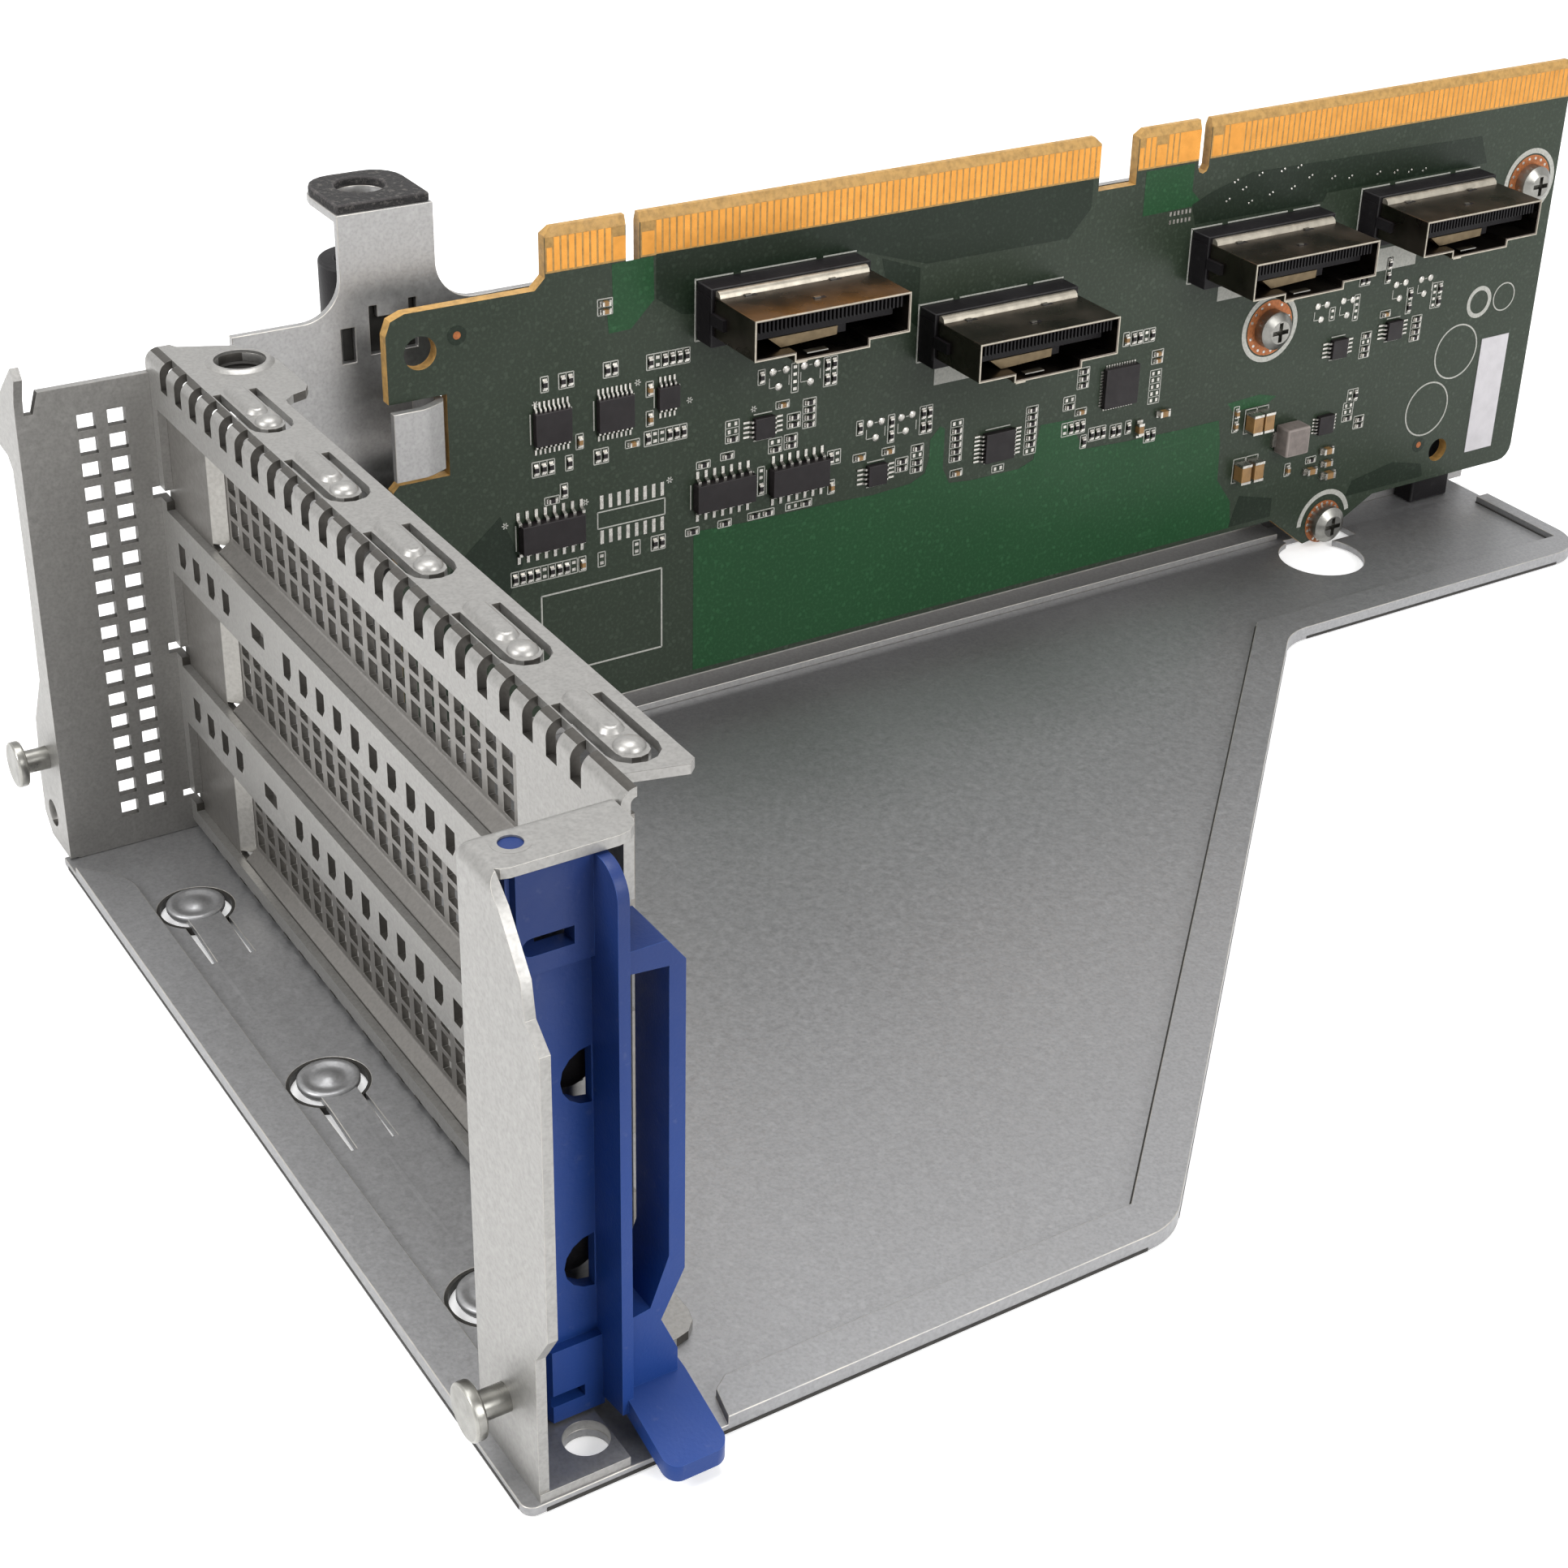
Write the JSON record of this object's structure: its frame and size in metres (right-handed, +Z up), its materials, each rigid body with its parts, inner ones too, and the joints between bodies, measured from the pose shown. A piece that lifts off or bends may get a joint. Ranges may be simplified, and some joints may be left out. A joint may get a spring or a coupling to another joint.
{
  "type": "riser cage bracket",
  "caption": "Folded sheet riser cage with perforated slot covers, a blue release latch and a riser board with cable connectors along it.",
  "frame": {"origin": "on the cover plate's underside, at the line where the plane of the riser board's face meets the plane of the slot panel's outer face", "axes": "+X from the board's face towards the latch, +Y from the slot panel towards the board's far end, +Z up from the cover plate towards the board's contact edge"},
  "size_m": [0.1422, 0.2422, 0.0762],
  "materials": {
    "plate_steel": "galvanised, satin",
    "panel_steel": "galvanised, satin",
    "cover_steel": "satin",
    "latch_plastic": "satin blue",
    "black_plastic": "matt",
    "board_green": "satin green mask",
    "nickel": "bright nickel",
    "screw_steel": "bright zinc",
    "foam": "matt foam",
    "chip_epoxy": "matt",
    "inductor_ferrite": "matt",
    "capacitor_ceramic": "satin"
  },
  "bodies": {
    "cage": {"cover_plate": "plate_steel", "io_panel": "panel_steel", "slot_cover_1": "cover_steel", "slot_cover_2": "cover_steel", "slot_cover_3": "cover_steel", "latch_bracket": "panel_steel", "wall_studs": "black_plastic", "riser_wall": "plate_steel", "riser_board": "board_green", "connector_base_1": "black_plastic", "connector_base_2": "black_plastic", "connector_base_3": "black_plastic", "connector_base_4": "black_plastic", "connector_shell_1": "nickel", "connector_shell_2": "nickel", "connector_shell_3": "nickel", "connector_shell_4": "nickel", "board_screws": "screw_steel", "board_standoffs": "screw_steel", "shoulder_pins": "screw_steel", "foam_pad": "foam", "end_block": "black_plastic", "buffer_chips": "chip_epoxy", "logic_chips": "chip_epoxy", "small_chips": "chip_epoxy", "main_chip": "chip_epoxy", "power_inductor": "inductor_ferrite", "power_capacitors": "capacitor_ceramic"},
    "latch": {"release_latch": "latch_plastic"},
    "thumb_screw": {"captive_screw": "screw_steel", "screw_knob": "black_plastic"}
  },
  "joints": [
    {"name": "latch_swing", "type": "hinge", "parent": "cage", "child": "latch", "pos_m": [0.1082, -0.0106, 0.03], "axis": [0, 0, -1], "range_deg": [0, 50]},
    {"name": "thumb_screw_turn", "type": "hinge", "parent": "cage", "child": "thumb_screw", "pos_m": [-0.0137, 0.0306, 0.06], "axis": [0, 0, 1], "continuous": true}
  ]
}
